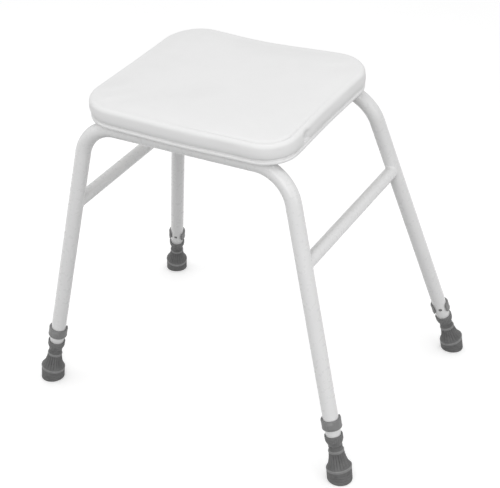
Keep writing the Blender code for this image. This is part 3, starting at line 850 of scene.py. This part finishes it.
# folds of the vinyl where it is drawn round the corners: place, width, depth
B_AT = nearest_along(HALF, LOW_Y + 0.075)
FOLDS = [(B_AT + 0.004, 0.0080, 0.0052), (B_AT + 0.020, 0.0060, 0.0006),
         (nearest_along(HALF - 0.012, LOW_Y + 0.014), 0.0060, 0.0005),
         (nearest_along(-HALF + 0.018, LOW_Y + 0.016), 0.0065, 0.0007),
         (nearest_along(-HALF + 0.006, LOW_Y + 0.036), 0.0060, 0.0006),
         (nearest_along(HALF - 0.020, HIGH_Y - 0.018), 0.0065, 0.0007),
         (nearest_along(-HALF + 0.020, HIGH_Y - 0.018), 0.0065, 0.0008),
         (nearest_along(-HALF + 0.004, HIGH_Y - 0.045), 0.0060, 0.0005)]
FOLD = sum(depth * fall(ALONG, at, width) for at, width, depth in FOLDS)
rng = np.random.default_rng(7)
RIPPLE = np.zeros(COLUMNS)
for k in range(3, 26):
    RIPPLE += rng.normal() * np.sin(2 * pi * k * ALONG / ROUND + rng.uniform(0, 2 * pi)) / k
RIPPLE *= 0.00035 / np.abs(RIPPLE).max()

# how far the board's edge stands out below the foam: more towards the right corner
LIP = 0.0013 + 0.0013 * fall(ALONG, nearest_along(0.13, LOW_Y), 0.13) \
    + 0.0005 * fall(ALONG, nearest_along(HALF, LOW_Y + 0.02), 0.08)
CREASE = 0.0027 * fall(ALONG, nearest_along(HALF - 0.02, LOW_Y + 0.01), 0.115)


def build_seat():
    rows = []                     # each row: (COLUMNS, 3) in the seat's frame

    def row(inset, z, wave=0.0, fold=0.0):
        p = EDGE - NORMAL * (np.asarray(inset) + fold * FOLD + wave * RIPPLE)[:, None] \
            if np.ndim(inset) or fold or wave else EDGE - NORMAL * inset
        zz = np.full(COLUMNS, float(z)) if np.ndim(z) == 0 else z
        rows.append(np.concatenate([p, zz[:, None]], 1))

    none = np.zeros(COLUMNS)
    flap = 0.0230 + 0.0016 * np.sin(2 * pi * 17 * ALONG / ROUND) \
        + 0.0011 * np.sin(2 * pi * 43 * ALONG / ROUND + 1.0)
    # foam's underside above the board, then down round the board and in along the flap
    row(none + 0.060, 0.0237)
    row(none + 0.030, 0.0237)
    row(none + 0.0026, 0.0237)
    row(none + 0.0019, 0.0232)
    row(none + 0.0019, 0.0146)
    row(none + 0.0026, 0.0141)
    row(none + 0.0120, 0.01405)
    row(flap - 0.0004, 0.01405)
    row(flap, 0.0137)
    row(flap, 0.0134)
    row(flap - 0.0005, 0.0130)
    gather = 0.00035 * np.sin(2 * pi * 90 * ALONG / ROUND) \
        * np.clip(sum(fall(ALONG, nearest_along(sx * (HALF - 0.02), y), 0.045)
                      for sx in (-1, 1) for y in (LOW_Y + 0.02, HIGH_Y - 0.02)), 0, 1)
    row(flap * 0.75, 0.0130 - np.abs(gather) * 0.6)
    row(none + 0.0110, 0.0130 - np.abs(gather) * 0.8)
    row(none + 0.0050, 0.0130 - np.abs(gather) * 0.3)
    row(none + 0.0026, 0.01302)
    # the board's edge, wrapped in vinyl
    row(none + 0.0016, 0.01318)
    row(none + 0.0010, 0.0136, 0.3)
    row(none + 0.0008, 0.0143, 0.3)
    row(none + 0.0007, 0.0152, 0.3)
    row(none + 0.0008, 0.0163, 0.3)
    row(none + 0.0010, 0.0171, 0.3)
    row(0.0011 + LIP * 0.5, 0.0178, 0.3, 0.3)
    row(0.0014 + LIP * 1.7, 0.0186, 0.3, 0.5)
    row(0.0016 + LIP * 2.2, 0.0193, 0.4, 0.6)
    row(0.0014 + LIP * 1.7, 0.0201, 0.5, 0.8)
    row(0.0009 + LIP * 0.7, 0.0210, 0.6, 0.9)
    # the foam's side
    row(none + 0.0007, 0.0222, 0.8, 1.0)
    row(none + 0.0002, 0.0240, 1.0, 1.0)
    row(none - 0.0001, 0.0262, 1.0, 1.0)
    row(none - 0.0003, 0.0286, 1.0, 1.0)
    row(none - 0.0003, 0.0310, 1.0, 1.0)
    row(none - 0.0001, 0.0334, 1.0, 0.9)
    row(none + 0.0001, 0.0356, 1.0, 0.75)
    row(none + 0.0003, 0.0376, 1.0, 0.6)
    # the rounded top edge
    r = 0.0078
    for k in range(0, 8):
        a = radians(90 * k / 8)
        ease = 1 - k / 8
        row(none + 0.0004 + r * (1 - cos(a)), RIM - r + r * sin(a), 0.8 * ease, 0.4 * ease)
    # the top, first in step with the edge, then drawn together towards the middle
    for inset in (0.0084, 0.0100, 0.0118, 0.0140, 0.0168, 0.0205, 0.0255, 0.0320, 0.0400):
        row(none + inset, RIM)
    ring = EDGE - NORMAL * 0.0400
    for _ in range(30):
        ring = 0.25 * np.roll(ring, 1, 0) + 0.5 * ring + 0.25 * np.roll(ring, -1, 0)
    centre = np.array([0.0, MID_Y])
    top_start = len(rows) - 9
    for k in np.linspace(0.95, 0.03, 30):
        p = centre + (ring - centre) * k
        rows.append(np.concatenate([p, np.full((COLUMNS, 1), RIM)], 1))
    P = np.array(rows)

    top = P[top_start:]
    xy = top[..., :2].reshape(-1, 2)
    tree, base = simulated_pad()
    raw = crown_of(tree, base, xy)
    raw = raw.reshape(top.shape[:2])
    for _ in range(4):
        raw = 0.25 * np.roll(raw, 1, 1) + 0.5 * raw + 0.25 * np.roll(raw, -1, 1)
        raw[1:-1] = 0.25 * raw[:-2] + 0.5 * raw[1:-1] + 0.25 * raw[2:]
    raw -= raw[0].mean()
    crown = np.clip(raw / max(1e-6, np.percentile(raw, 98)), -0.2, 1.1) * 0.0030
    blend_in = np.array([smoothstep(0.0060, 0.0300, i) for i in
                         (0.0084, 0.0100, 0.0118, 0.0140, 0.0168, 0.0205, 0.0255, 0.0320, 0.0400)]
                        + [1.0] * 30)
    lift = crown * blend_in[:, None]
    # a shallow crease just inside the edge, near the front right corner
    insets = [0.0084, 0.0100, 0.0118, 0.0140, 0.0168, 0.0205, 0.0255, 0.0320, 0.0400]
    for i, d in enumerate(insets):
        lift[i] -= CREASE * exp(-((d - 0.0110) / 0.0021) ** 2)
    P[top_start:, :, 2] += lift

    rings = [[SEAT @ Vector(p) for p in ring] for ring in P]
    return loft("seat_pad", rings, [M_VINYL], caps=(True, True), sharp=None)


pad = build_seat()
own(pad, "frame", "white_vinyl", "seat_cover", "seat_foam")


# the plywood board inside, drilled for the tee nuts
board_ring, _, _, _ = outline(0.0024)
bm = bmesh.new()
rows = []
for inset, z in ((0.0005, 0.0143), (0.0, 0.0148), (0.0, 0.0228), (0.0005, 0.0233)):
    pts = board_ring[::4] - NORMAL[::4] * inset
    rows.append([SEAT @ Vector((x, y, z)) for x, y in pts])
loft_into(bm, rows, caps=(True, True))
board = as_object("plywood_board", bm, [M_PLY])
SCREWS = [("front_left", -SCREW_X, SCREW_IN), ("front_right", SCREW_X, SCREW_IN),
          ("rear_left", -SCREW_X, TUBE_PITCH - SCREW_IN),
          ("rear_right", SCREW_X, TUBE_PITCH - SCREW_IN)]
cut(board, [solid_cylinder(n + "_drill", 0.0043, 0.0, 0.04,
                           SEAT @ Matrix.Translation((x, y, 0)), 32) for n, x, y in SCREWS])
own(board, "frame", "plywood", "seat_board")

# staples that hold the vinyl's turned edge to the board
bm = bmesh.new()
n_staples = 52
for i in range(n_staples):
    j = int(COLUMNS * (i + 0.37) / n_staples) % COLUMNS
    x, y = EDGE[j] - NORMAL[j] * 0.0165
    t = atan2(NORMAL[j][0], -NORMAL[j][1]) + 0.12 * sin(7.3 * i)
    m = SEAT @ Matrix.Translation((x, y, 0.01282)) @ Matrix.Rotation(t, 4, "Z")
    crown_rows = []
    for k, (px, pz) in enumerate(((-0.0052, 0.0006), (-0.0050, 0.0001), (-0.0044, -0.0002),
                                  (0.0, -0.0002), (0.0044, -0.0002), (0.0050, 0.0001),
                                  (0.0052, 0.0006))):
        crown_rows.append([m @ Vector((px, 0.00045 * cos(2 * pi * q / 8),
                                       pz + 0.0003 * sin(2 * pi * q / 8))) for q in range(8)])
    loft_into(bm, crown_rows, caps=(True, True))
own(as_object("cover_staples", bm, [M_ZINC]), "frame", "zinc_steel")

# tabs, tab welds, washers and screws under the seat
for n, x, y in SCREWS:
    at = SEAT @ Matrix.Translation((x, y, 0))
    tab = softened(n + "_seat_tab", n + "_tab", 0.0004, [M_COAT])
    own(tab, "frame", "white_powder_coat")
    way = -1 if n.startswith("front") else 1
    bead = []
    for k in range(49):
        u = -TAB_HALF + 0.0008 + (2 * TAB_HALF - 0.0016) * k / 48
        size = 0.0019 + 0.00018 * sin(k * 1.6)
        if k in (0, 48):
            size = 0.0009
        cy = way * (SCREW_IN - 0.0052)
        bead.append([at @ Vector((u, cy + size * cos(2 * pi * q / 10) * 0.9,
                                  TAB_LOW + 0.0002 + size * sin(2 * pi * q / 10) * 0.8))
                     for q in range(10)])
    own(loft(n + "_tab_weld", bead, [M_COAT], caps=(True, True), sharp=60), "frame",
        "white_powder_coat")

    low = TAB_LOW - 0.0003
    disc = [(SCREW_HOLE_R, low - 0.0010), (SCREW_HOLE_R, low - 0.0001), (SCREW_HOLE_R + 0.0002, low),
            (0.0058, low), (0.0060, low - 0.0002), (0.0060, low - 0.0010), (0.0058, low - 0.0012),
            (SCREW_HOLE_R + 0.0002, low - 0.0012)]
    own(loft(n + "_washer", lathe_rings(disc, 48, at), [M_ZINC], wrap=True), "frame",
        "zinc_steel", n + "_seat_washer")

    under = TAB_LOW - 0.0006 - 0.0012
    top = SEAT_LOW + VINYL + 0.0003 + BOARD - 0.0002
    head = [(0.0, under - 0.0034), (0.0016, under - 0.0034), (0.0030, under - 0.0032),
            (0.0040, under - 0.0028), (0.0048, under - 0.0021), (0.0053, under - 0.0012),
            (0.0055, under - 0.0005), (0.0054, under)]
    thread = []
    z = under
    while z < top - 0.0012:
        thread += [(0.0030, z + 0.0001), (0.0030, z + 0.00035), (0.00262, z + 0.0005),
                   (0.00262, z + 0.0007)]
        z += 0.0008
    screw = loft(n + "_screw", lathe_rings(head + thread + [(0.0026, top - 0.0006),
                                                            (0.0020, top), (0.0, top)], 36, at),
                 [M_ZINC])
    hexed = bmesh.new()
    loft_into(hexed, lathe_rings([(0.0023, under - 0.0060), (0.0023, under - 0.0014)], 6, at),
              caps=(True, True))
    cut(screw, [as_object(n + "_hex", hexed, [], None)])
    own(screw, "frame", "zinc_steel", n + "_seat_screw")

# ---------------------------------------------------- floor, light and camera
bpy.ops.mesh.primitive_plane_add(size=14, location=(0, 0, -0.0004))
floor = bpy.context.object
floor.name = "studio_floor"
floor.data.materials.append(studio_floor())
floor.visible_diffuse = False


def softbox(name, at, aim, size, power):
    data = bpy.data.lights.new(name, "AREA")
    data.shape = "RECTANGLE"
    data.size, data.size_y = size
    data.energy = power
    obj = bpy.data.objects.new(name, data)
    bpy.context.scene.collection.objects.link(obj)
    obj.location = at
    obj.rotation_euler = (Vector(aim) - Vector(at)).to_track_quat("-Z", "Y").to_euler()
    return obj


softbox("overhead", (0.0, 0.0, 2.4), (0, 0, 0.4), (2.6, 2.6), 9.4)
softbox("left", (-2.2, -1.0, 1.0), (0, 0, 0.35), (1.8, 1.8), 5.4)
softbox("right", (2.2, -0.6, 1.1), (0, 0, 0.35), (1.6, 1.8), 7.0)
softbox("front", (1.0, -2.4, 1.3), (0, 0, 0.3), (1.8, 1.6), 18.5)
softbox("back", (-0.8, 2.4, 1.5), (0, 0, 0.4), (2.0, 1.4), 0.5)

world = bpy.data.worlds.new("studio")
bpy.context.scene.world = world
world.use_nodes = True
wt = world.node_tree
up_down = wt.nodes.new("ShaderNodeSeparateXYZ")
wt.links.new(wt.nodes.new("ShaderNodeTexCoord").outputs["Generated"], up_down.inputs[0])
sky = wt.nodes.new("ShaderNodeMapRange")
sky.interpolation_type = "SMOOTHSTEP"
sky.inputs["From Min"].default_value = -0.75
sky.inputs["From Max"].default_value = 0.05
sky.inputs["To Min"].default_value = 0.02
sky.inputs["To Max"].default_value = 1.0
wt.links.new(up_down.outputs["Z"], sky.inputs["Value"])
wt.links.new(sky.outputs["Result"], wt.nodes["Background"].inputs["Color"])
world.node_tree.nodes["Background"].inputs["Strength"].default_value = 0.70

cam_data = bpy.data.cameras.new("camera")
cam = bpy.data.objects.new("camera", cam_data)
bpy.context.scene.collection.objects.link(cam)
cam_data.sensor_width = 36
cam_data.sensor_fit = "HORIZONTAL"
cam_data.lens = 1187.3 / 500 * 36
cam_data.shift_x = (250.0 - 250.4) / 500
az, el, roll, dist = radians(29.856), radians(28.958), radians(-0.27), 2.091
back = Vector((sin(az) * cos(el), -cos(az) * cos(el), sin(el)))
forward = -back
right = forward.cross(Vector((0, 0, 1))).normalized()
upward = right.cross(forward).normalized()
r2 = right * cos(roll) + upward * sin(roll)
u2 = -right * sin(roll) + upward * cos(roll)
cm = Matrix((r2, u2, back)).transposed().to_4x4()
cm.translation = Vector((-0.0008, -0.0014, 0.2461)) + back * dist
cam.matrix_world = cm
bpy.context.scene.camera = cam
bpy.context.scene.view_settings.view_transform = "Standard"
bpy.context.scene.view_settings.look = "None"
